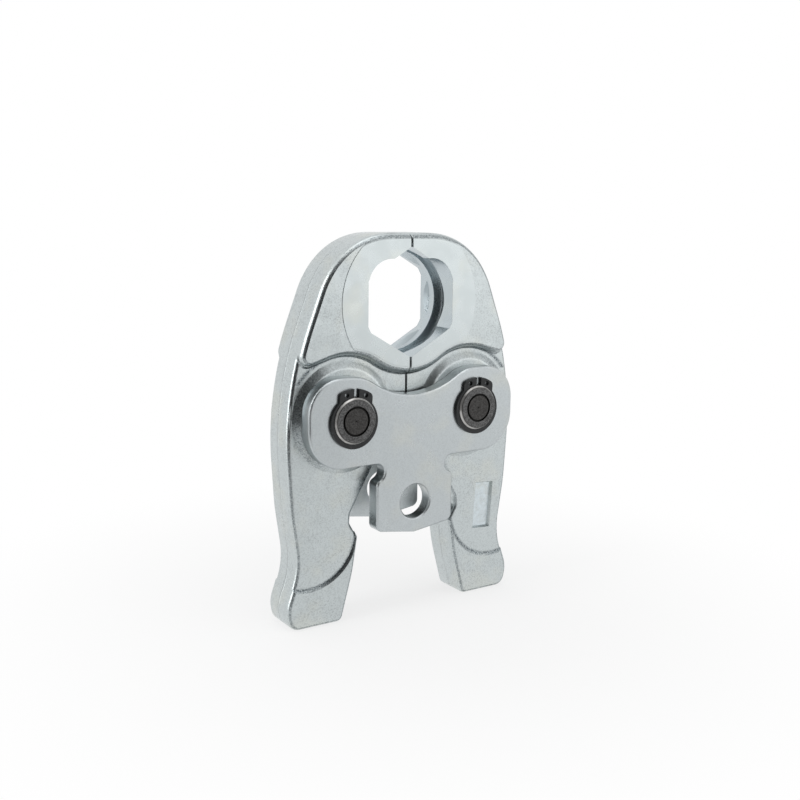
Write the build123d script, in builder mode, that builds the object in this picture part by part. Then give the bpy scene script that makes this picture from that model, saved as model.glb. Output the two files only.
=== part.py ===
"""Press fitting tool jaw: two forged jaws on two pins between a pair of side plates."""

import os
from math import atan2, cos, degrees, radians, sin, sqrt, tan

from build123d import *

# Frame, in millimetres. The origin is the centre of the tool pin bore, halfway
# through the jaw set. +X is the right-hand jaw, +Y points away from the front
# plate, and +Z runs up to the pressing mouth.

# Side plates
plate_thickness = 6.0
plate_gap = 19.3
plate_end_reach = 19.05
plate_upper_corner = 14.0
plate_lower_corner = 15.0
plate_bottom = 17.3
plate_edge_chamfer = 0.55
lobe_radius = 16.6
lug_width = 36.2
lug_corner_height = -10.2
lug_corner_radius = 3.0
lug_point_height = -12.9
neck_relief_radius = 3.6
neck_blend_radius = 2.5
tool_bore_diameter = 14.0
tool_bore_chamfer = 0.5

# Pins and their retaining rings
pin_spacing = 58.1
pin_height = 36.0
pin_diameter = 18.0
pin_proud = 2.45
pin_end_chamfer = 0.85
pin_face_groove_radius = 5.45
pin_face_groove_width = 0.85
pin_face_groove_depth = 0.6
pin_centre_radius = 0.6
pin_centre_depth = 0.5
plate_pin_clearance = 0.03
jaw_pin_clearance = 0.05
ring_groove_diameter = 17.0
ring_groove_width = 1.3
ring_thickness = 1.2
ring_bottom_width = 2.5
ring_side_width = 1.8
ear_top_radius = 12.4
ear_half_span = 7.2
ear_base_height = 5.0
ear_corner_radius = 2.0
ear_gap = 2.2
ear_hole_diameter = 1.9
ear_hole_offset = 4.2
ear_hole_height = 9.9
ring_turn = -4.0

# Jaw thicknesses, each measured from the middle plane outwards
head_half = 11.0
rough_face_drop = 0.25
web_half = 7.8
foot_half = 8.6
hub_side_clearance = 0.1
hub_radius = 19.3
hub_foot_radius = 22.4
hub_top_blend = 2.0
hub_foot_blend = 3.5
hub_foot_sink = 0.1
hub_run_out = 1.0

# Step between the thick head and the web: an arc round the mouth meets an arc round the
# pin, so the two radii together are the distance from the pin to the mouth
step_mouth_radius = 28.1
step_pin_radius = 24.3
mouth_height = pin_height + sqrt((step_mouth_radius + step_pin_radius) ** 2 - (pin_spacing / 2) ** 2)

# Jaw outline: corners (x, z) of the outer side from the top down, with their radii
crown_height = 27.0
head_top = mouth_height + crown_height
foot_bottom = -47.4
outer_corners = [
    (28.0, head_top),
    (39.2, mouth_height + 7.9),
    (54.9, pin_height + 10.2),
    (52.0, 0.3),
    (48.5, -22.7),
    (54.4, -39.2),
    (52.2, foot_bottom),
]
outer_radii = [32.0, 28.0, 130.0, 87.0, 31.5, 13.3, 4.8]

# Jaw outline: corners of the inner side from the foot up to the parting face
inner_corners = [
    (29.7, foot_bottom),
    (24.5, -28.0),
    (22.2, -13.3),
    (25.5, -7.6),
    (25.2, -3.6),
    (11.5, 20.4),
]
inner_radii = [2.8, 60.0, 2.0, 2.6, 4.0, 12.0]
arch_top = (-6.0, 39.5)
parting_gap = 0.3
parting_chamfer = 0.4
head_edge_radius = 2.9
side_edge_radius = 1.7

# Step between the thick head and the web: where its arcs start and end
step_run_in_angle = 30.0
step_run_out_angle = 16.7
step_corner_radius = 4.0
step_foot_bevel = 0.8

# Machined ring face round the mouth, reaching a little past the step
ring_face_margin = 3.2
ring_face_radius = step_mouth_radius + ring_face_margin

# Raised foot: everything outside this arc
foot_arc_centre = (44.9, -9.8)
foot_arc_radius = 21.5
foot_edge_radius = 1.8
foot_step_run = 1.2

# Recess stamped in the front of the right-hand tail
recess_centre = (40.3, -9.2)
recess_size = (9.2, 20.2)
recess_tilt = -3.5
recess_depth = 1.3
recess_draft = 25.0

# Mouth section, front to back: hexagon with its two upper corners opened out by a
# circle, then flank, bead groove, land, cone and a second hexagon
side_flat = 19.8
slant_flat = 18.9
corner_radius = 21.6
corner_relief_centre = (9.3, 6.7)
corner_relief_radius = 10.5
rear_side_flat = 19.1
rear_slant_flat = 19.2
rear_corner_radius = 21.2
groove_front_radius = 22.5
groove_radius = 22.8
land_radius = 20.4
front_hexagon_back = -5.2
groove_front = -0.1
groove_back = 3.1
land_back = 6.3
rear_hexagon_depth = 1.9

# Closing spring between the inner sides of the jaws
spring_height = 24.0
spring_outer_diameter = 7.0
spring_wire_diameter = 1.0
spring_length = 27.0
spring_turns = 5
spring_pocket_clearance = 0.4
spring_end_clearance = 0.1

# Values worked out from the sizes above
plate_inner = plate_gap / 2
plate_outer = plate_inner + plate_thickness
plate_half_length = pin_spacing / 2 + plate_end_reach
hub_half = plate_inner - hub_side_clearance
pin_x = pin_spacing / 2
pin_radius = pin_diameter / 2
pin_half_length = plate_outer + pin_proud
pin_to_mouth = step_mouth_radius + step_pin_radius
pin_bearing = degrees(atan2(pin_x, mouth_height - pin_height))
pin_centres = [(-pin_x, pin_height), (pin_x, pin_height)]
parting_x = parting_gap / 2
run_limit = 0.97
near = 0.01
far = 200.0


def hexagon(flat_side, flat_slant):
    """Six corners of a mouth hexagon with a corner at the top and flats at the sides."""
    slant_at_side = (flat_slant - flat_side * cos(radians(60))) / sin(radians(60))
    top = flat_slant / sin(radians(60))
    right = [(0, top), (flat_side, slant_at_side), (flat_side, -slant_at_side), (0, -top)]
    left = [(-flat_side, -slant_at_side), (-flat_side, slant_at_side)]
    return right + left


def facing_front(x, y, z, turn=0.0):
    """Plane at one point that looks out of the front of the tool, turned about its normal."""
    across = (cos(radians(turn)), 0, sin(radians(turn)))
    return Plane(origin=(x, y, z), x_dir=across, z_dir=(0, -1, 0))


def fitting_radii(points, radii):
    """Corner radii of a path, each limited by the runs that it shares with its neighbours."""
    corners = [Vector(*point) for point in points]
    runs = [end - start for start, end in zip(corners, corners[1:])]
    turns = [first.get_angle(second) for first, second in zip(runs, runs[1:])]
    tangents = [radius * tan(radians(turn / 2)) for radius, turn in zip(radii, turns)]
    used = [a + b for a, b in zip([0.0] + tangents, tangents + [0.0])]
    room = [min(1.0, run_limit * run.length / length) for run, length in zip(runs, used)]
    return [radius * min(pair) for radius, pair in zip(radii, zip(room, room[1:]))]


def save(part, name):
    """Label a finished piece and write it to its own file."""
    part.label = name
    export_step(part, f"parts/{name}.step")


os.makedirs("parts", exist_ok=True)

# Side plate outline, right half, mirrored to the left
mouth_to_plate = pin_to_mouth - lobe_radius
lobe_top = pin_height + lobe_radius
lug_side = lug_width / 2
relief_height = plate_bottom - neck_relief_radius
relief_bottom = relief_height - neck_relief_radius
plate_end_path = [
    (pin_x, lobe_top),
    (plate_half_length, lobe_top),
    (plate_half_length, plate_bottom),
    (lug_side, plate_bottom),
]
with BuildSketch() as plate_outline:
    with BuildLine():
        CenterArc((0, mouth_height), mouth_to_plate, -90, pin_bearing)
        CenterArc((pin_x, pin_height), lobe_radius, 90, pin_bearing)
        FilletPolyline(
            *plate_end_path,
            radius=fitting_radii(plate_end_path, [plate_upper_corner, plate_lower_corner]),
        )
        CenterArc((lug_side, relief_height), neck_relief_radius, 90, 180)
        FilletPolyline(
            (lug_side, relief_bottom),
            (lug_side, lug_corner_height),
            (0, lug_point_height),
            radius=[lug_corner_radius],
        )
        Line((0, lug_point_height), (0, mouth_height - mouth_to_plate))
    make_face()
    neck_corner = plate_outline.vertices().sort_by_distance((lug_side, relief_bottom))[0]
    fillet(neck_corner, neck_blend_radius)
    mirror(about=Plane.YZ)
    Circle(tool_bore_diameter / 2, mode=Mode.SUBTRACT)
    with Locations(*pin_centres):
        Circle(pin_radius + plate_pin_clearance, mode=Mode.SUBTRACT)

with BuildPart() as front_side_plate:
    with BuildSketch(Plane.XZ.offset(plate_inner)):
        add(plate_outline.sketch)
    extrude(amount=plate_thickness)
    rim = front_side_plate.faces().sort_by(Axis.Y)[0].outer_wire().edges()
    bore_edges = front_side_plate.edges().filter_by(GeomType.CIRCLE)
    tool_bore_edges = bore_edges.filter_by(lambda e: abs(e.radius - tool_bore_diameter / 2) < near)
    chamfer(rim, plate_edge_chamfer)
    chamfer(tool_bore_edges, tool_bore_chamfer)
save(front_side_plate.part, "front_side_plate")

with BuildPart() as rear_side_plate:
    mirror(front_side_plate.part, about=Plane.XZ)
save(rear_side_plate.part, "rear_side_plate")

# Jaw outline, right jaw, running past the parting plane until it is split there
blank_side = arch_top[0]
jaw_path = [(blank_side, head_top)] + outer_corners + inner_corners + [arch_top]
with BuildSketch() as jaw_outline:
    with BuildLine():
        FilletPolyline(*jaw_path, radius=fitting_radii(jaw_path, outer_radii + inner_radii))
        Line(arch_top, (blank_side, head_top))
    make_face()


def above_step(widening):
    """Everything above the step: round the mouth, over the pin, then sloping off outwards."""
    with BuildSketch() as region:
        with BuildLine():
            round_mouth = CenterArc(
                (0, mouth_height),
                step_mouth_radius + widening,
                -90 - step_run_in_angle,
                step_run_in_angle + pin_bearing,
            )
            over_pin = CenterArc(
                (pin_x, pin_height),
                step_pin_radius - widening,
                90 - step_run_out_angle,
                step_run_out_angle + pin_bearing,
            )
            run_out = PolarLine(over_pin @ 0, far, -step_run_out_angle)
            Polyline(run_out @ 1, (far, far), (-far, far), round_mouth @ 0)
        make_face()
    return region.sketch


def head_outline(widening):
    """Outline of the thick head, reaching down over the step by the widening."""
    with BuildSketch() as outline:
        add(jaw_outline.sketch)
        add(above_step(widening), mode=Mode.INTERSECT)
        fillet(outline.vertices().sort_by(Axis.X)[-1], step_corner_radius)
    return outline.sketch


# Everything above and inside the foot arc, widening outwards so that the step slopes
foot_arc_x, foot_arc_z = foot_arc_centre
foot_step_top = foot_arc_radius + foot_step_run
with BuildPart() as above_foot:
    with BuildSketch(Plane(origin=(foot_arc_x, 0, foot_arc_z), x_dir=(1, 0, 0), z_dir=(0, 0, 1))):
        with BuildLine():
            Polyline(
                (0, 0),
                (foot_arc_radius, 0),
                (foot_arc_radius, web_half),
                (foot_step_top, foot_half),
                (foot_step_top, head_half),
                (0, head_half),
                close=True,
            )
        make_face()
        mirror(about=Plane.XZ)
    revolve(axis=Axis((foot_arc_x, 0, foot_arc_z), (0, 1, 0)))
    with Locations((0, 0, foot_arc_z + far / 2)):
        Box(2 * far, 2 * far, far)


def face_rims(block):
    """Edges round the front and rear faces of a block, leaving out the parting side."""
    faces = block.faces().filter_by(Axis.Y).sort_by(Axis.Y)
    rims = faces[0].outer_wire().edges() + faces[-1].outer_wire().edges()
    return rims.filter_by_position(Axis.X, blank_side + near, far)


with BuildPart() as head_block:
    with BuildSketch(Plane.XZ):
        add(head_outline(0))
    extrude(amount=head_half, both=True)
    fillet(face_rims(head_block), head_edge_radius)

# Bevel that eases the foot of the step into the web
with BuildPart() as step_foot:
    with BuildSketch(Plane.XZ):
        add(head_outline(step_foot_bevel))
    extrude(amount=web_half + step_foot_bevel, both=True)
    chamfer(face_rims(step_foot), step_foot_bevel)

with BuildPart() as web_block:
    with BuildSketch(Plane.XZ):
        add(jaw_outline.sketch)
    extrude(amount=web_half, both=True)
    fillet(face_rims(web_block), side_edge_radius)

with BuildPart() as foot_block:
    with BuildSketch(Plane.XZ):
        add(jaw_outline.sketch)
    extrude(amount=foot_half, both=True)
    fillet(face_rims(foot_block), foot_edge_radius)
    add(above_foot.part, mode=Mode.SUBTRACT)

# Round boss that the plates bear on, running out softly just under the web face
hub_end_radius = hub_foot_radius + hub_run_out
with BuildPart() as hub_boss:
    with BuildSketch(Plane(origin=(pin_x, 0, pin_height), x_dir=(1, 0, 0), z_dir=(0, 0, 1))):
        with BuildLine():
            FilletPolyline(
                (0, hub_half),
                (hub_radius, hub_half),
                (hub_foot_radius, web_half - hub_foot_sink),
                (hub_end_radius, web_half - 2 * hub_foot_sink),
                radius=[hub_top_blend, hub_foot_blend],
            )
            Polyline(
                (hub_end_radius, web_half - 2 * hub_foot_sink),
                (hub_end_radius, 0),
                (0, 0),
                (0, hub_half),
            )
        make_face()
        mirror(about=Plane.XZ)
    revolve(axis=Axis((pin_x, 0, pin_height), (0, 1, 0)))

# Everything that the mouth takes away, front to back
flank_slope = (groove_front_radius - side_flat) / (groove_front - front_hexagon_back)
flank_start = groove_front - (groove_front_radius - slant_flat) / flank_slope
with BuildPart() as mouth_cutter:
    with BuildSketch(facing_front(0, -head_half, mouth_height)):
        Polygon(*hexagon(side_flat, slant_flat), align=None)
        Circle(corner_radius, mode=Mode.INTERSECT)
        relief_x, relief_z = corner_relief_centre
        with Locations((-relief_x, relief_z), (relief_x, relief_z)):
            Circle(corner_relief_radius)
    extrude(amount=-(head_half + groove_front))
    with BuildSketch(Plane(origin=(0, 0, mouth_height), x_dir=(1, 0, 0), z_dir=(0, 0, 1))):
        with BuildLine():
            Polyline(
                (0, flank_start),
                (slant_flat, flank_start),
                (groove_front_radius, groove_front),
                (groove_radius, groove_front),
                (groove_radius, groove_back),
                (land_radius, groove_back),
                (land_radius, land_back),
                (rear_side_flat, head_half - rear_hexagon_depth),
                (0, head_half - rear_hexagon_depth),
                close=True,
            )
        make_face()
    revolve(axis=Axis((0, 0, mouth_height), (0, 1, 0)))
    with BuildSketch(facing_front(0, head_half, mouth_height)):
        Polygon(*hexagon(rear_side_flat, rear_slant_flat), align=None)
        Circle(rear_corner_radius, mode=Mode.INTERSECT)
    extrude(amount=head_half - land_back)

# Spring pocket, blind, sunk into the inner side below the parting face
with BuildPart() as spring_pocket:
    with BuildSketch(Plane.YZ):
        with Locations((0, spring_height)):
            Circle(spring_outer_diameter / 2 + spring_pocket_clearance)
    extrude(amount=spring_length / 2 + spring_end_clearance)

with BuildPart() as jaw_blank:
    add(web_block.part)
    add(head_block.part)
    add(step_foot.part)
    add(hub_boss.part)
    add(foot_block.part)
    for facing in (-1, 1):
        with BuildSketch(facing_front(0, facing * (head_half - rough_face_drop), mouth_height)):
            Rectangle(far, far)
            Circle(ring_face_radius, mode=Mode.SUBTRACT)
        extrude(amount=-facing * far, mode=Mode.SUBTRACT)
    add(mouth_cutter.part, mode=Mode.SUBTRACT)
    add(spring_pocket.part, mode=Mode.SUBTRACT)
    with Locations(facing_front(pin_x, 0, pin_height)):
        Cylinder(pin_radius + jaw_pin_clearance, far, mode=Mode.SUBTRACT)
    split(bisect_by=Plane.YZ.offset(parting_x), keep=Keep.TOP)
    parting_edges = jaw_blank.edges().filter_by(Axis.Z)
    parting_edges = parting_edges.filter_by_position(Axis.X, parting_x - near, parting_x + near)
    chamfer(parting_edges, parting_chamfer)

with BuildPart() as left_jaw:
    mirror(jaw_blank.part, about=Plane.YZ)
save(left_jaw.part, "left_jaw")

with BuildPart() as right_jaw:
    add(jaw_blank.part)
    with BuildSketch(facing_front(recess_centre[0], -web_half, recess_centre[1], recess_tilt)):
        Rectangle(*recess_size)
    extrude(amount=-recess_depth, taper=recess_draft, mode=Mode.SUBTRACT)
save(right_jaw.part, "right_jaw")


def pivot_pin(x, name):
    """Turned pin with a turned ring in each end and a groove outside each plate."""
    groove_inner = pin_face_groove_radius - pin_face_groove_width / 2
    groove_outer = pin_face_groove_radius + pin_face_groove_width / 2
    ring_groove_radius = ring_groove_diameter / 2
    with BuildPart() as pin:
        with BuildSketch(Plane(origin=(x, 0, pin_height), x_dir=(1, 0, 0), z_dir=(0, 0, 1))):
            with BuildLine():
                Polyline(
                    (0, 0),
                    (pin_radius, 0),
                    (pin_radius, plate_outer),
                    (ring_groove_radius, plate_outer),
                    (ring_groove_radius, plate_outer + ring_groove_width),
                    (pin_radius, plate_outer + ring_groove_width),
                    (pin_radius, pin_half_length - pin_end_chamfer),
                    (pin_radius - pin_end_chamfer, pin_half_length),
                    (groove_outer, pin_half_length),
                    (groove_outer, pin_half_length - pin_face_groove_depth),
                    (groove_inner, pin_half_length - pin_face_groove_depth),
                    (groove_inner, pin_half_length),
                    (pin_centre_radius, pin_half_length),
                    (0, pin_half_length - pin_centre_depth),
                    close=True,
                )
            make_face()
            mirror(about=Plane.XZ)
        revolve(axis=Axis((x, 0, pin_height), (0, 1, 0)))
    save(pin.part, name)


pivot_pin(-pin_x, "left_pin")
pivot_pin(pin_x, "right_pin")

# Retaining ring seen from outside: an eccentric band and two eyes above the gap
ring_inner = ring_groove_diameter / 2
ring_bottom = ring_inner + ring_bottom_width
ring_top = (ring_inner + ring_side_width) ** 2 / ring_bottom
with BuildSketch() as ring_outline:
    with Locations((0, ear_base_height)):
        Rectangle(2 * ear_half_span, 2 * (ear_top_radius - ear_base_height))
    Circle(ear_top_radius, mode=Mode.INTERSECT)
    with Locations((0, -far / 2 + ear_base_height)):
        Rectangle(far, far, mode=Mode.SUBTRACT)
    fillet(ring_outline.vertices().group_by(Axis.Y)[1], ear_corner_radius)
    with Locations((0, (ring_top - ring_bottom) / 2)):
        Circle((ring_top + ring_bottom) / 2)
    Circle(ring_inner, mode=Mode.SUBTRACT)
    with Locations((0, ear_top_radius / 2)):
        Rectangle(ear_gap, ear_top_radius, mode=Mode.SUBTRACT)
    with Locations((-ear_hole_offset, ear_hole_height), (ear_hole_offset, ear_hole_height)):
        Circle(ear_hole_diameter / 2, mode=Mode.SUBTRACT)


def retaining_ring(x, facing, name):
    """Retaining ring in its groove, facing -1 on the front plate and +1 on the rear one."""
    seat = plate_outer + (ring_groove_width - ring_thickness) / 2
    with BuildPart() as ring:
        with BuildSketch(facing_front(x, -seat, pin_height, ring_turn)):
            add(ring_outline.sketch)
        extrude(amount=ring_thickness)
        if facing > 0:
            mirror(about=Plane.XZ, mode=Mode.REPLACE)
    save(ring.part, name)


for side, x in (("left", -pin_x), ("right", pin_x)):
    retaining_ring(x, -1, f"{side}_front_circlip")
    retaining_ring(x, 1, f"{side}_rear_circlip")

# Closing spring across the inner sides of the jaws, held in their pockets
coil_radius = (spring_outer_diameter - spring_wire_diameter) / 2
coil_length = spring_length - spring_wire_diameter
points_per_turn = 8
coil_points = []
for step in range(spring_turns * points_per_turn + 1):
    along = step / (spring_turns * points_per_turn)
    turned = radians(360 * step / points_per_turn)
    coil_points.append(
        (
            coil_length * (along - 0.5),
            coil_radius * sin(turned),
            spring_height + coil_radius * cos(turned),
        )
    )
with BuildPart() as closing_spring:
    with BuildLine():
        coil = Spline(*coil_points)
    with BuildSketch(Plane(origin=coil @ 0, z_dir=coil % 0)):
        Circle(spring_wire_diameter / 2)
    sweep(is_frenet=True)
save(closing_spring.part, "closing_spring")
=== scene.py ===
"""Press fitting tool jaw: finishes, closing spring, stage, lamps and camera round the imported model."""

import math

import bmesh
import bpy
from bpy.props import FloatProperty, FloatVectorProperty, PointerProperty
from mathutils import Matrix, Vector


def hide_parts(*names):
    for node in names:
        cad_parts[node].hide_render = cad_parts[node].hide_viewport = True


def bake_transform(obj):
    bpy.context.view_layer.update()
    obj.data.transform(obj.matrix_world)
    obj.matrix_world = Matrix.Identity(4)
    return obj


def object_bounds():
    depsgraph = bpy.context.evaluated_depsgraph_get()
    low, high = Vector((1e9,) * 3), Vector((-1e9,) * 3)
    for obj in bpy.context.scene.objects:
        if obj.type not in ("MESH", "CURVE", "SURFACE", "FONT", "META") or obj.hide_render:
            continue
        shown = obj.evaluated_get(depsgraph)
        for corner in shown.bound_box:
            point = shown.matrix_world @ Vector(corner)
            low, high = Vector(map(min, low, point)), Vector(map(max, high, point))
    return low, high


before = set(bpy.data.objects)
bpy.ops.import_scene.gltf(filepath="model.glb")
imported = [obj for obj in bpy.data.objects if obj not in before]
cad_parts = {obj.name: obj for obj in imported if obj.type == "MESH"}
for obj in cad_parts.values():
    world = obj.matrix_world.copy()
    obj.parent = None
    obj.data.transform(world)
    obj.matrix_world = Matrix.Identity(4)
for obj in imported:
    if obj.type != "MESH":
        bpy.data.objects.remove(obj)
cad_box = [list(corner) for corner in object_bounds()]

bl_info = {
    "name": "Press fitting tool jaw",
    "version": (1, 0, 0),
    "blender": (4, 5, 0),
    "location": "View3D > Sidebar > Press jaw",
    "description": "Finishes the jaws, plates, pins, rings and spring of a press fitting tool jaw",
    "category": "Object",
}

MM = 0.001
JAWS = ("left_jaw", "right_jaw")
PLATES = ("front_side_plate", "rear_side_plate")
PINS = ("left_pin", "right_pin")
RINGS = ("left_front_circlip", "right_front_circlip", "left_rear_circlip", "right_rear_circlip")

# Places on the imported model
MOUTH_HEIGHT = 79.6 * MM
MOUTH_RADIUS = 22.9 * MM
HEAD_FACE = 10.95 * MM
INSIDE_MOUTH = 10.85 * MM
RING_FACE_RADIUS = 31.3 * MM
PIN_X = 29.05 * MM
PIN_HEIGHT = 36.0 * MM
STEP_MOUTH_RADIUS = 28.1 * MM
STEP_PIN_RADIUS = 24.3 * MM
STEP_MEETING_X = PIN_X * STEP_MOUTH_RADIUS / (STEP_MOUTH_RADIUS + STEP_PIN_RADIUS)
STEP_LOWEST = PIN_HEIGHT + 14 * MM
STEP_DEPTHS = (7.8 * MM, 8.6 * MM)
FOOT_ARC_CENTRE = (44.9 * MM, -9.8 * MM)
FOOT_ARC_RADIUS = 21.7 * MM
BOSS_RADIUS = 23.0 * MM
BOSS_OUTER_X = 35.0 * MM
NOTCH_EDGE_OUTWARD = (0.868, 0, 0.496)
NOTCH_EDGE_OFFSET = 20.7 * MM
NOTCH_SHADE_HEIGHTS = (7 * MM, 17 * MM)
WEB_FACE = 8.0 * MM
RECESS_DEPTH = 6.6 * MM
RECESS_X = 34.0 * MM
RECESS_TOP = 2.0 * MM
PIN_GROOVE_RADII = (5.05 * MM, 5.85 * MM)
PIN_RING_RADII = (5.95 * MM, 8.1 * MM)
PIN_RIM_RADIUS = 8.6 * MM
TOOL_MIDDLE = (0, 0, 0.03)
FLOOR_HEIGHT = cad_box[0][2]

# Share of the front direction in a face's normal where painted shade goes, and for a flat front
SLOPE_FACING = (0.68, 0.93)
FLAT_FACING = 0.97

# Grain of ground and of phosphated steel, and the rounding of a plate's edge
FINE_GRAIN = 0.45 * MM
PLATE_EDGE = 0.7 * MM

# Floor: its width, where it starts and ends to fade to white, and how white it is before that
FLOOR_WIDTH = 6.0
FLOOR_FADE = (0.05, 0.22)
FLOOR_NEAR_WHITE = 0.7

# Dark cloth: a wall behind the camera and a strip on the ground, narrower than the wall
WALL_HEIGHT = 1.35
WALL_MIDDLE = 0.45
WALL_DISTANCE = 0.9
GROUND_SHARE = 0.65
GROUND_LENGTH = 0.64
GROUND_DISTANCE = 0.58


def linear(code):
    """Linear colour of an sRGB hex value."""
    parts = [int(code[i:i + 2], 16) / 255 for i in (1, 3, 5)]
    return [p / 12.92 if p <= 0.04045 else ((p + 0.055) / 1.055) ** 2.4 for p in parts]


def add(tree, kind, *links, **settings):
    """Add a node: settings are its attributes, links are pairs of socket and value or output."""
    node = tree.nodes.new(kind)
    for name, value in settings.items():
        setattr(node, name, value)
    for socket, value in links:
        target = node.inputs[socket]
        if isinstance(value, bpy.types.NodeSocket):
            tree.links.new(value, target)
        elif target.type == "RGBA":
            target.default_value = (*value[:3], 1.0)
        else:
            target.default_value = value
    return node


def blank_material(name):
    """An empty material, its shader and its object coordinates."""
    material = bpy.data.materials.new(name)
    material.use_nodes = True
    tree = material.node_tree
    tree.nodes.clear()
    shader = add(tree, "ShaderNodeBsdfPrincipled")
    add(tree, "ShaderNodeOutputMaterial", ("Surface", shader.outputs["BSDF"]))
    place = add(tree, "ShaderNodeTexCoord").outputs["Object"]
    return material, tree, shader, place


def overlap(tree, *masks):
    """Product of masks: it is 1 only where all of them are."""
    product = masks[0]
    for mask in masks[1:]:
        product = add(tree, "ShaderNodeMath", (0, product), (1, mask), operation="MULTIPLY").outputs[0]
    return product


def join(tree, *masks):
    """Highest of masks: it is 1 where any of them is."""
    highest = masks[0]
    for mask in masks[1:]:
        highest = add(tree, "ShaderNodeMath", (0, highest), (1, mask), operation="MAXIMUM").outputs[0]
    return highest


def span(tree, value, low=None, high=None, soft=0.05 * MM):
    """1 where a value lies from low to high, fading to 0 over the soft width outside them."""
    edges = []
    if low is not None:
        edges.append((low - soft, low))
    if high is not None:
        edges.append((high + soft, high))
    return overlap(tree, *(
        add(
            tree, "ShaderNodeMapRange", ("Value", value), ("From Min", start), ("From Max", end),
            interpolation_type="SMOOTHSTEP",
        ).outputs["Result"]
        for start, end in edges
    ))


def blotches(tree, place, width, start=0.0, end=1.0, low=0.0, high=1.0, detail=2.0, roughness=0.5):
    """Blotches of a width in metres: the noise from start to end gives low to high."""
    noise = add(
        tree, "ShaderNodeTexNoise", ("Vector", place), ("Scale", 1 / width), ("Detail", detail),
        ("Roughness", roughness),
    )
    return add(
        tree, "ShaderNodeMapRange", ("Value", noise.outputs["Fac"]), ("From Min", start),
        ("From Max", end), ("To Min", low), ("To Max", high), interpolation_type="SMOOTHSTEP",
    ).outputs["Result"]


def coats(tree, colour, *layers):
    """A colour under layers of (share, colour), each laid over the ones before."""
    for share, layer in layers:
        colour = add(
            tree, "ShaderNodeMix", ("Factor", share), (6, colour), (7, layer), data_type="RGBA",
        ).outputs[2]
    return colour


def relief(tree, shader, *layers, start=None):
    """Bump from layers of (height output, depth in metres), each added to the one before."""
    normal = start
    for height, depth in layers:
        bump = add(tree, "ShaderNodeBump", ("Height", height), ("Distance", depth))
        if normal is not None:
            tree.links.new(normal, bump.inputs["Normal"])
        normal = bump.outputs["Normal"]
    tree.links.new(normal, shader.inputs["Normal"])


def turning_marks(tree, distance, pitch):
    """Waves along a distance, one for each pass of the turning tool."""
    per_metre = 2 * math.pi / pitch
    phase = add(tree, "ShaderNodeMath", (0, distance), (1, per_metre), operation="MULTIPLY").outputs[0]
    return add(tree, "ShaderNodeMath", (0, phase), operation="SINE").outputs[0]


def both_sides(tree, vector, name):
    """One part of a vector without its sign, so that both sides of the tool are alike."""
    split = add(tree, "ShaderNodeSeparateXYZ", ("Vector", vector))
    return add(tree, "ShaderNodeMath", (0, split.outputs[name]), operation="ABSOLUTE").outputs[0]


def in_front_view(tree, place):
    """Place as seen from the front, with the left half folded over onto the right one."""
    height = add(tree, "ShaderNodeSeparateXYZ", ("Vector", place)).outputs["Z"]
    return add(
        tree, "ShaderNodeCombineXYZ", ("X", both_sides(tree, place, "X")), ("Z", height),
    ).outputs[0]


def off_axis(tree, place, x, z):
    """Distance from the axes along Y through (x, z) and (-x, z), whichever is nearer."""
    return add(
        tree, "ShaderNodeVectorMath", (0, in_front_view(tree, place)), (1, (x, 0, z)),
        operation="DISTANCE",
    ).outputs["Value"]


class PressJawFinish(bpy.types.PropertyGroup):
    """Colours and grain sizes of the finishes."""

    forged_colour: FloatVectorProperty(
        name="Forged zinc", description="Zinc plate on the forgings", subtype="COLOR",
        default=linear("#C2C9CA"),
    )
    plate_colour: FloatVectorProperty(
        name="Plate zinc", description="Zinc plate on the side plates", subtype="COLOR",
        default=linear("#BBC1C3"),
    )
    straw_colour: FloatVectorProperty(
        name="Straw tint", description="Passivation tint in patches", subtype="COLOR",
        default=linear("#D2D0BF"),
    )
    speck_colour: FloatVectorProperty(
        name="Specks", description="Dull grains left by blasting", subtype="COLOR",
        default=linear("#7B7F80"),
    )
    # Painted shade: the colour laid in corners, on slopes and beside the notch, where shade and dark
    # reflections fall
    painted_shade_colour: FloatVectorProperty(
        name="Painted shade", description="Scale left in corners and on slopes", subtype="COLOR",
        default=linear("#59636A"),
    )
    pin_colour: FloatVectorProperty(
        name="Pins", description="Phosphated, oiled steel", subtype="COLOR",
        default=linear("#4C4B4A"),
    )
    ring_colour: FloatVectorProperty(
        name="Retaining rings", description="Blackened spring steel", subtype="COLOR",
        default=linear("#2E2F30"),
    )
    wire_colour: FloatVectorProperty(
        name="Spring wire", description="Drawn spring wire", subtype="COLOR",
        default=linear("#8C8D8E"),
    )
    blast_grain: FloatProperty(
        name="Blasting grain", description="Width of one dimple", unit="LENGTH", default=0.4 * MM,
    )
    turning_pitch: FloatProperty(
        name="Turning pitch", description="Distance between turning marks, coarse enough to show",
        unit="LENGTH", default=0.6 * MM,
    )
    forging_wave: FloatProperty(
        name="Forging wave", description="Width of the swells left by the dies", unit="LENGTH",
        default=9.0 * MM,
    )


class PressJawSpring(bpy.types.PropertyGroup):
    """Sizes of the closing spring."""

    wire: FloatProperty(name="Wire", description="Wire diameter", unit="LENGTH", default=1.0 * MM)
    coil: FloatProperty(name="Coil", description="Outer diameter", unit="LENGTH", default=7.0 * MM)
    length: FloatProperty(name="Length", description="Length at rest", unit="LENGTH", default=27 * MM)
    height: FloatProperty(name="Height", description="Height of its axis", unit="LENGTH", default=24 * MM)
    turns: FloatProperty(name="Turns", description="Turns in all", default=5.0)


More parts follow.
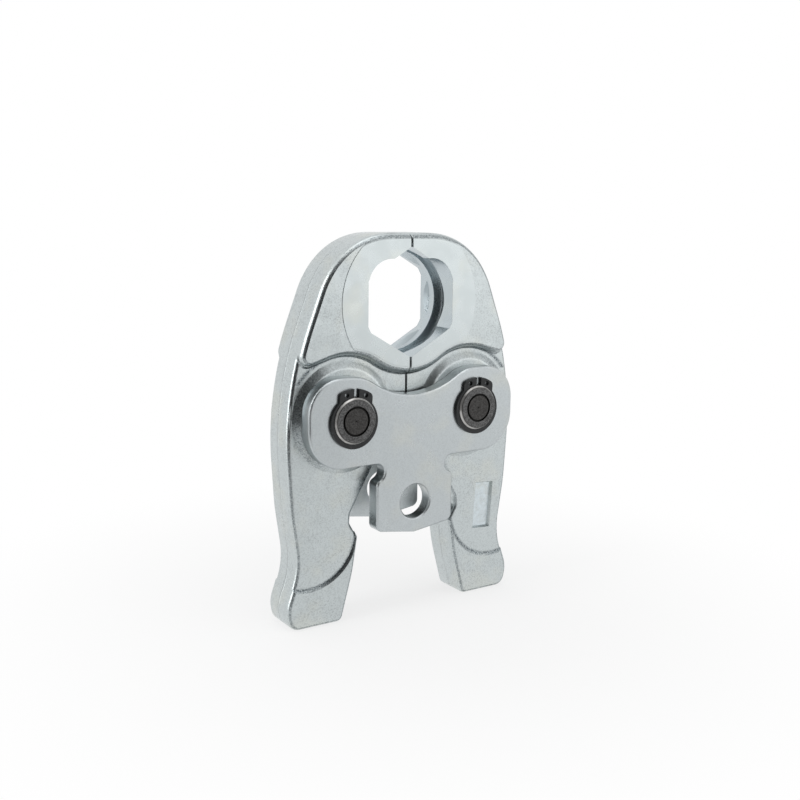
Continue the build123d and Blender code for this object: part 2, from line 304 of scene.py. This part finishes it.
class PressJawStage(bpy.types.PropertyGroup):
    """Camera, lamps and background levels."""

    lens: FloatProperty(name="Lens", description="Focal length in mm", default=46.92)
    azimuth: FloatProperty(name="Azimuth", description="Degrees left of the front", default=-33.10)
    elevation: FloatProperty(name="Elevation", description="Degrees above level", default=10.26)
    roll: FloatProperty(name="Roll", description="Degrees", default=0.70)
    camera_place: FloatVectorProperty(
        name="Camera place", description="Where the camera stands", subtype="TRANSLATION",
        default=(-0.22743, -0.35235, 0.11486),
    )
    surround: FloatProperty(name="Surround", description="Level of the room's soft light", default=0.7)
    cloth_azimuth: FloatProperty(
        name="Dark cloth", description="Degrees left of the front", default=-31.0,
    )
    cloth_width: FloatProperty(
        name="Cloth width", description="Width of the dark cloth", unit="LENGTH", default=1.35,
    )
    lamp_level: FloatProperty(name="Lamp level", description="Share of the lamps' power", default=1.0)


def clouded_zinc(tree, place, colour, straw, share):
    """Zinc colour with faint patches of the passivation's straw tint."""
    patches = blotches(tree, place, 14 * MM, 0.48, 0.72, high=share, detail=3.0)
    return coats(tree, colour, (patches, straw))


def forged_zinc(finish):
    """Drop-forged steel, shot blasted and bright zinc plated: silvery, gritty, with dull grains.

    The mouth and the ring round it are turned after forging, so they are smoother. Corners,
    slopes and the face beside the notch get speckled painted shade, slopes also a painted reflection of the
    dark surroundings.
    """
    material, tree, shader, place = blank_material("forged_steel_zinc_plated")
    from_mouth = off_axis(tree, place, 0, MOUTH_HEIGHT)
    from_pin = off_axis(tree, place, PIN_X, PIN_HEIGHT)
    from_foot = off_axis(tree, place, *FOOT_ARC_CENTRE)
    width = both_sides(tree, place, "X")
    depth = both_sides(tree, place, "Y")
    height = add(tree, "ShaderNodeSeparateXYZ", ("Vector", place)).outputs["Z"]
    facing = both_sides(tree, add(tree, "ShaderNodeTexCoord").outputs["Normal"], "Y")

    ring_face = overlap(
        tree, span(tree, depth, low=HEAD_FACE),
        span(tree, from_mouth, high=RING_FACE_RADIUS, soft=0.6 * MM),
    )
    mouth = overlap(tree, span(tree, from_mouth, high=MOUTH_RADIUS), span(tree, depth, high=INSIDE_MOUTH))
    turned = join(tree, ring_face, mouth)
    forged = add(tree, "ShaderNodeMath", (0, 1.0), (1, turned), operation="SUBTRACT").outputs[0]

    # Painted shade in the corner of the step round the mouth and over the pins, and of the foot arcs
    corner = 1.3 * MM
    round_mouth = overlap(
        tree, span(tree, from_mouth, STEP_MOUTH_RADIUS, STEP_MOUTH_RADIUS, corner),
        span(tree, width, high=STEP_MEETING_X),
    )
    over_pin = overlap(
        tree, span(tree, from_pin, STEP_PIN_RADIUS, STEP_PIN_RADIUS, corner),
        span(tree, width, low=STEP_MEETING_X), span(tree, height, low=STEP_LOWEST),
    )
    round_foot = overlap(
        tree, span(tree, from_foot, FOOT_ARC_RADIUS, FOOT_ARC_RADIUS, corner),
        span(tree, height, high=FOOT_ARC_CENTRE[1]),
    )
    corners = overlap(
        tree, join(tree, round_mouth, over_pin, round_foot), span(tree, depth, *STEP_DEPTHS, soft=0.9 * MM),
    )

    # Painted shade and painted reflection on rounded edges and slopes, which turn away from the
    # front, less so on the inner side of the bosses, and painted shade on the face beside the notch
    inner_boss = overlap(
        tree, span(tree, from_pin, high=BOSS_RADIUS),
        span(tree, width, high=BOSS_OUTER_X, soft=9 * MM), 0.7,
    )
    outside_inner_boss = add(tree, "ShaderNodeMath", (0, 1.0), (1, inner_boss), operation="SUBTRACT").outputs[0]
    slopes = overlap(tree, span(tree, facing, *SLOPE_FACING, soft=0.06), forged, outside_inner_boss, 0.6)
    across = add(
        tree, "ShaderNodeVectorMath", (0, in_front_view(tree, place)), (1, NOTCH_EDGE_OUTWARD),
        operation="DOT_PRODUCT",
    ).outputs["Value"]
    notch = overlap(
        tree, span(tree, across, high=NOTCH_EDGE_OFFSET, soft=3.5 * MM),
        span(tree, height, *NOTCH_SHADE_HEIGHTS, soft=5 * MM), span(tree, depth, high=WEB_FACE),
    )
    # All three get painted shade: a speckled darker colour and dark dots
    painted_shade_area = join(tree, corners, slopes, notch)
    speckle = blotches(tree, place, 0.7 * MM, 0.35, 0.65, low=0.25, detail=3.0, roughness=0.7)
    painted_shade = overlap(tree, painted_shade_area, speckle, 0.85)
    painted_shade_dots = overlap(tree, painted_shade_area, blotches(tree, place, 0.5 * MM, 0.48, 0.58, roughness=0.7), 0.8)

    # Each grain of shot leaves a dimple of its own level, and some are dull
    grains = add(tree, "ShaderNodeTexVoronoi", ("Vector", place), ("Scale", 1 / finish.blast_grain))
    crowd = blotches(tree, place, 12 * MM, 0.35, 0.7, low=0.6, detail=3.0)
    dull = overlap(tree, span(tree, grains.outputs["Color"], low=0.85, soft=0.45), crowd, forged, 0.36)

    # The floor of the stamped recess keeps the bright, bluish look of fresh plating
    recess = overlap(
        tree, span(tree, depth, high=RECESS_DEPTH), span(tree, facing, low=FLAT_FACING, soft=0.02),
        span(tree, width, low=RECESS_X), span(tree, height, high=RECESS_TOP),
        blotches(tree, place, 2.2 * MM, 0.35, 0.65, 0.25, 0.65, detail=3.0),
    )
    colour = coats(
        tree, clouded_zinc(tree, place, finish.forged_colour, finish.straw_colour, 0.22),
        (overlap(tree, mouth, 0.4), linear("#B3C0C9")), (dull, finish.speck_colour),
        (recess, linear("#D5E0E6")), (painted_shade, finish.painted_shade_colour),
        (painted_shade_dots, linear("#2F363A")),
    )
    tree.links.new(colour, shader.inputs["Base Color"])
    shader.inputs["Metallic"].default_value = 1.0

    # Turned faces are a little smoother than blasted ones
    cloud = blotches(tree, place, 6 * MM, 0.3, 0.7, 0.25, 0.32, detail=3.0)
    rough = add(tree, "ShaderNodeMath", (0, forged), (1, 0.02), (2, cloud), operation="MULTIPLY_ADD")
    tree.links.new(rough.outputs[0], shader.inputs["Roughness"])

    # The swells that the dies leave, the draft that falls away from the line where they part,
    # its trimmed flash, the dimples, and the marks of the turning tool in the mouth
    swell = overlap(tree, blotches(tree, place, finish.forging_wave), forged)
    draft = overlap(tree, span(tree, depth, high=0, soft=11 * MM), forged)
    flash = overlap(tree, span(tree, depth, high=0.1 * MM, soft=0.6 * MM), forged)
    dimples = overlap(tree, grains.outputs["Distance"], forged)

    marks = overlap(tree, turning_marks(tree, depth, finish.turning_pitch), mouth)
    relief(
        tree, shader, (swell, 0.12 * MM), (draft, 0.5 * MM), (flash, 0.15 * MM), (dimples, 0.02 * MM),
        (marks, 0.01 * MM),
    )
    return material


def plate_zinc(finish):
    """Laser-cut steel plate, ground flat and zinc plated: smooth, bluish, faintly clouded."""
    material, tree, shader, place = blank_material("steel_plate_zinc_plated")
    grains = add(tree, "ShaderNodeTexVoronoi", ("Vector", place), ("Scale", 1 / FINE_GRAIN))
    dull = overlap(tree, span(tree, grains.outputs["Color"], low=0.8, soft=0.5), 0.14)
    colour = coats(
        tree, clouded_zinc(tree, place, finish.plate_colour, finish.straw_colour, 0.2),
        (dull, finish.speck_colour),
    )
    tree.links.new(colour, shader.inputs["Base Color"])
    shader.inputs["Metallic"].default_value = 1.0
    cloud = blotches(tree, place, 9 * MM, 0.3, 0.7, 0.27, 0.34, detail=4.0)
    tree.links.new(cloud, shader.inputs["Roughness"])
    edge = add(tree, "ShaderNodeBevel", ("Radius", PLATE_EDGE), samples=6).outputs[0]
    swell = blotches(tree, place, 16 * MM)
    relief(tree, shader, (swell, 0.08 * MM), (grains.outputs["Distance"], 0.004 * MM), start=edge)
    return material


def phosphated_steel(finish):
    """Turned pin, phosphated and oiled: dark grey and grainy, fine turning rings, painted shade in the
    groove, and the rim rubbed bright with a painted highlight on its chamfer.
    """
    material, tree, shader, place = blank_material("turned_steel_phosphated")
    radius = off_axis(tree, place, PIN_X, PIN_HEIGHT)
    ridge = turning_marks(tree, radius, finish.turning_pitch)
    rim = span(tree, radius, low=PIN_RIM_RADIUS, soft=0.35 * MM)
    # Rim: rubbed bright, and also a painted highlight of the light on its chamfer, a light ring in patches
    rubbed_rim_and_highlight = overlap(tree, rim, blotches(tree, place, 2.5 * MM, 0.25, 0.6, low=0.45, detail=3.0))
    outer_ring = overlap(tree, span(tree, radius, *PIN_RING_RADII, soft=0.1 * MM), 0.45)
    # Painted shade: the groove is painted near black
    groove_shade = overlap(tree, span(tree, radius, *PIN_GROOVE_RADII, soft=0.08 * MM), 0.9)
    grains = add(tree, "ShaderNodeTexVoronoi", ("Vector", place), ("Scale", 1 / FINE_GRAIN))
    mottle = overlap(tree, span(tree, grains.outputs["Color"], low=0.8, soft=0.6), 0.6)
    colour = coats(
        tree, finish.pin_colour, (outer_ring, linear("#858687")), (mottle, linear("#2A2928")),
        (groove_shade, linear("#141413")), (rubbed_rim_and_highlight, linear("#B4B3B1")),
    )
    tree.links.new(colour, shader.inputs["Base Color"])
    shader.inputs["Metallic"].default_value = 0.9
    rough = add(
        tree, "ShaderNodeMapRange", ("Value", rubbed_rim_and_highlight), ("To Min", 0.46), ("To Max", 0.28),
    ).outputs["Result"]
    tree.links.new(rough, shader.inputs["Roughness"])
    relief(tree, shader, (ridge, 0.008 * MM), (grains.outputs["Distance"], 0.01 * MM))
    return material


def black_spring_steel(finish):
    """Stamped spring steel, blackened: near black with a soft oily gloss."""
    material, tree, shader, place = blank_material("spring_steel_blackened")
    wear = blotches(tree, place, 1.5 * MM, 0.5, 0.75, high=0.35, detail=4.0, roughness=0.6)
    colour = coats(tree, finish.ring_colour, (wear, linear("#4B4B4C")))
    tree.links.new(colour, shader.inputs["Base Color"])
    shader.inputs["Metallic"].default_value = 0.6
    gloss = blotches(tree, place, 3.0 * MM, 0.3, 0.7, 0.45, 0.36, detail=3.0)
    tree.links.new(gloss, shader.inputs["Roughness"])
    relief(tree, shader, (blotches(tree, place, 0.4 * MM, detail=3.0), 0.015 * MM))
    return material


def spring_wire(finish):
    """Drawn spring wire: grey, with faint draw marks."""
    material, tree, shader, place = blank_material("spring_wire_drawn")
    streak = blotches(tree, place, 0.5 * MM, 0.4, 0.7, high=0.5, detail=3.0)
    colour = coats(tree, finish.wire_colour, (streak, linear("#5C5C5C")))
    tree.links.new(colour, shader.inputs["Base Color"])
    shader.inputs["Metallic"].default_value = 1.0
    shader.inputs["Roughness"].default_value = 0.35
    relief(tree, shader, (streak, 0.01 * MM))
    return material


def paint(names, material):
    """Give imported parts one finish."""
    for name in names:
        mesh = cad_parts[name].data
        mesh.materials.clear()
        mesh.materials.append(material)


class JAWTOOL_OT_forgings(bpy.types.Operator):
    """Finish the two forged jaws"""

    bl_idname = "jawtool.forgings"
    bl_label = "Forged jaws"

    def execute(self, context):
        paint(JAWS, forged_zinc(context.scene.press_jaw_finish))
        return {"FINISHED"}


class JAWTOOL_OT_plates(bpy.types.Operator):
    """Finish the two side plates"""

    bl_idname = "jawtool.plates"
    bl_label = "Side plates"

    def execute(self, context):
        paint(PLATES, plate_zinc(context.scene.press_jaw_finish))
        return {"FINISHED"}


class JAWTOOL_OT_pins(bpy.types.Operator):
    """Finish the two pivot pins"""

    bl_idname = "jawtool.pins"
    bl_label = "Pivot pins"

    def execute(self, context):
        paint(PINS, phosphated_steel(context.scene.press_jaw_finish))
        return {"FINISHED"}


class JAWTOOL_OT_rings(bpy.types.Operator):
    """Finish the four retaining rings"""

    bl_idname = "jawtool.rings"
    bl_label = "Retaining rings"

    def execute(self, context):
        paint(RINGS, black_spring_steel(context.scene.press_jaw_finish))
        return {"FINISHED"}


def half_spring(spring, side):
    """Half of the coil, from the middle plane out to one jaw."""
    steps_per_turn = 36
    radius = (spring.coil - spring.wire) / 2
    run = (spring.length - spring.wire) / 2
    steps = round(spring.turns / 2 * steps_per_turn)
    mesh = bpy.data.meshes.new(f"closing_spring_{'left' if side < 0 else 'right'}_half")
    shape = bmesh.new()
    stand_up = Matrix.Rotation(math.radians(90), 4, "X")
    place = Matrix.Translation((0, 0, spring.height + radius)) @ stand_up
    bmesh.ops.create_circle(shape, cap_ends=True, segments=14, radius=spring.wire / 2, matrix=place)
    bmesh.ops.spin(
        shape, geom=shape.verts[:] + shape.edges[:] + shape.faces[:], cent=(0, 0, spring.height),
        axis=(1, 0, 0), dvec=(side * run / steps, 0, 0), angle=side * math.pi * spring.turns,
        steps=steps, use_merge=False, use_duplicate=False,
    )
    bmesh.ops.remove_doubles(shape, verts=shape.verts[:], dist=1e-6)
    bmesh.ops.recalc_face_normals(shape, faces=shape.faces[:])
    for face in shape.faces:
        face.smooth = len(face.verts) == 4
    shape.to_mesh(mesh)
    shape.free()
    piece = bpy.data.objects.new(mesh.name, mesh)
    bpy.context.collection.objects.link(piece)
    return piece


class JAWTOOL_OT_spring(bpy.types.Operator):
    """Wind the closing spring in two halves, one to each side of the middle, in place of the imported one
    """

    bl_idname = "jawtool.spring"
    bl_label = "Closing spring"

    def execute(self, context):
        spring = context.scene.press_jaw_spring
        material = spring_wire(context.scene.press_jaw_finish)
        for side, jaw in ((-1, "left_jaw"), (1, "right_jaw")):
            piece = half_spring(spring, side)
            piece.data.materials.append(material)
            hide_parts("closing_spring")
            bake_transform(piece)
        return {"FINISHED"}


def white_rays(tree):
    """1 for the rays that show the background: seen, reflected or let through."""
    rays = add(tree, "ShaderNodeLightPath").outputs
    return join(tree, rays["Is Camera Ray"], rays["Is Glossy Ray"], rays["Is Transmission Ray"])


def stage_sheet(name, width, height, place):
    """Flat sheet of the stage, its width along X and its height along Y before it is placed."""
    mesh = bpy.data.meshes.new(name)
    shape = bmesh.new()
    size = Matrix.Diagonal((width / 2, height / 2, 1, 1))
    bmesh.ops.create_grid(shape, x_segments=1, y_segments=1, size=1, matrix=place @ size)
    shape.to_mesh(mesh)
    shape.free()
    sheet = bpy.data.objects.new(name, mesh)
    bpy.context.collection.objects.link(sheet)
    return sheet


def stage_floor():
    """Pale paper floor: it fades to the white of the background away from the tool."""
    lying = Matrix.Translation((0, 0, FLOOR_HEIGHT))
    floor = stage_sheet("floor", FLOOR_WIDTH, FLOOR_WIDTH, lying)
    material = bpy.data.materials.new("studio_floor_white_paper")
    material.use_nodes = True
    tree = material.node_tree
    tree.nodes.clear()
    place = add(tree, "ShaderNodeTexCoord").outputs["Object"]
    split = add(tree, "ShaderNodeSeparateXYZ", ("Vector", place)).outputs
    flat = add(tree, "ShaderNodeCombineXYZ", ("X", split["X"]), ("Y", split["Y"])).outputs[0]
    from_tool = add(tree, "ShaderNodeVectorMath", (0, flat), operation="LENGTH").outputs["Value"]
    whiter = add(
        tree, "ShaderNodeMapRange", ("Value", from_tool), ("From Min", FLOOR_FADE[0]),
        ("From Max", FLOOR_FADE[1]), ("To Min", FLOOR_NEAR_WHITE), interpolation_type="SMOOTHSTEP",
    ).outputs["Result"]
    paper = add(tree, "ShaderNodeBsdfDiffuse", ("Color", linear("#F4F4F4")))
    white = add(tree, "ShaderNodeEmission", ("Color", linear("#FFFFFF")), ("Strength", 1.0))
    rays = add(tree, "ShaderNodeLightPath").outputs
    seen = overlap(tree, rays["Is Camera Ray"], whiter)
    share = join(tree, seen, rays["Is Glossy Ray"], rays["Is Transmission Ray"])
    shown = add(tree, "ShaderNodeMixShader", (0, share), (1, paper.outputs[0]), (2, white.outputs[0]))
    add(tree, "ShaderNodeOutputMaterial", ("Surface", shown.outputs[0]))
    floor.data.materials.append(material)


def stage_room(stage):
    """White background, and for soft light a little less than white."""
    world = bpy.data.worlds.new("studio")
    bpy.context.scene.world = world
    world.use_nodes = True
    tree = world.node_tree
    tree.nodes.clear()
    shade = add(
        tree, "ShaderNodeMix", ("Factor", white_rays(tree)), ("A", stage.surround), ("B", 1.0),
        data_type="FLOAT",
    ).outputs[0]
    light = add(tree, "ShaderNodeBackground", ("Color", linear("#FFFFFF")), ("Strength", shade))
    add(tree, "ShaderNodeOutputWorld", ("Surface", light.outputs[0]))


def toward(azimuth, elevation):
    """Unit vector that points from the tool to a place round it, in degrees."""
    around, up = math.radians(azimuth), math.radians(elevation)
    return Vector((math.sin(around) * math.cos(up), -math.cos(around) * math.cos(up), math.sin(up)))


def stage_dark_cloth(stage):
    """Dark grey cloth behind the camera and on the ground before it, seen in reflections only."""
    back = toward(stage.cloth_azimuth, 0)
    upright = back.to_track_quat("Z", "Y").to_matrix().to_4x4()
    turned = Matrix.Rotation(math.radians(stage.cloth_azimuth), 4, "Z")
    wall = Matrix.Translation(Vector((0, 0, WALL_MIDDLE)) + back * WALL_DISTANCE) @ upright
    on_ground = Vector((0, 0, FLOOR_HEIGHT + MM)) + back * GROUND_DISTANCE
    ground = Matrix.Translation(on_ground) @ turned
    material = bpy.data.materials.new("studio_dark_grey_cloth")
    material.use_nodes = True
    tree = material.node_tree
    tree.nodes.clear()
    cloth = add(tree, "ShaderNodeBsdfDiffuse", ("Color", linear("#5A5A5A")))
    add(tree, "ShaderNodeOutputMaterial", ("Surface", cloth.outputs[0]))
    for name, width, height, place in (
        ("cloth_wall", stage.cloth_width, WALL_HEIGHT, wall),
        ("cloth_ground", GROUND_SHARE * stage.cloth_width, GROUND_LENGTH, ground),
    ):
        sheet = stage_sheet(name, width, height, place)
        sheet.visible_camera = False
        sheet.visible_diffuse = False
        sheet.visible_shadow = False
        sheet.data.materials.append(material)


def soft_lamp(name, azimuth, elevation, distance, width, height, level):
    """Rectangular soft lamp that looks at the middle of the tool, level times as bright as white."""
    data = bpy.data.lights.new(name, "AREA")
    data.shape = "RECTANGLE"
    data.size = width
    data.size_y = height
    data.energy = level * math.pi * width * height
    lamp = bpy.data.objects.new(name, data)
    bpy.context.collection.objects.link(lamp)
    back = toward(azimuth, elevation)
    lamp.location = Vector(TOOL_MIDDLE) + back * distance
    lamp.rotation_mode = "QUATERNION"
    lamp.rotation_quaternion = back.to_track_quat("Z", "Y")


class JAWTOOL_OT_stage(bpy.types.Operator):
    """Set the floor, the room, the lamps and the camera"""

    bl_idname = "jawtool.stage"
    bl_label = "Stage"

    def execute(self, context):
        stage = context.scene.press_jaw_stage
        stage_floor()
        stage_room(stage)
        stage_dark_cloth(stage)
        for name, azimuth, elevation, distance, width, height, level in (
            ("left_strip", -90, 14, 0.75, 0.26, 0.9, 3.0),
            ("front_right_box", 40, 6, 0.9, 0.75, 0.8, 0.4),
            ("top_box", 10, 78, 0.9, 0.6, 0.6, 1.0),
        ):
            soft_lamp(name, azimuth, elevation, distance, width, height, level * stage.lamp_level)
        back = toward(stage.azimuth, stage.elevation)
        right = Vector((0, 0, 1)).cross(back).normalized()
        up = back.cross(right)
        turn = Matrix((right, up, back)).transposed() @ Matrix.Rotation(math.radians(stage.roll), 3, "Z")
        data = bpy.data.cameras.new("camera")
        data.lens = stage.lens
        data.sensor_width = 36.0
        camera = bpy.data.objects.new("camera", data)
        context.collection.objects.link(camera)
        camera.matrix_world = Matrix.Translation(stage.camera_place) @ turn.to_4x4()
        context.scene.camera = camera
        context.scene.view_settings.view_transform = "Standard"
        return {"FINISHED"}


class JAWTOOL_PT_panel(bpy.types.Panel):
    """Lists the steps of the press jaw"""

    bl_label = "Press jaw"
    bl_space_type = "VIEW_3D"
    bl_region_type = "UI"
    bl_category = "Press jaw"

    def draw(self, context):
        for step in STEPS:
            self.layout.operator(step.bl_idname)


STEPS = (
    JAWTOOL_OT_stage, JAWTOOL_OT_forgings, JAWTOOL_OT_plates, JAWTOOL_OT_pins, JAWTOOL_OT_rings,
    JAWTOOL_OT_spring,
)
GROUPS = (PressJawFinish, PressJawSpring, PressJawStage)


def register():
    for group in GROUPS + STEPS + (JAWTOOL_PT_panel,):
        bpy.utils.register_class(group)
    bpy.types.Scene.press_jaw_finish = PointerProperty(type=PressJawFinish)
    bpy.types.Scene.press_jaw_spring = PointerProperty(type=PressJawSpring)
    bpy.types.Scene.press_jaw_stage = PointerProperty(type=PressJawStage)


def unregister():
    del bpy.types.Scene.press_jaw_stage
    del bpy.types.Scene.press_jaw_spring
    del bpy.types.Scene.press_jaw_finish
    for group in reversed(GROUPS + STEPS + (JAWTOOL_PT_panel,)):
        bpy.utils.unregister_class(group)


def main():
    """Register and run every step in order."""
    register()
    bpy.ops.jawtool.stage()
    bpy.ops.jawtool.forgings()
    bpy.ops.jawtool.plates()
    bpy.ops.jawtool.pins()
    bpy.ops.jawtool.rings()
    bpy.ops.jawtool.spring()


if __name__ == "__main__":
    main()
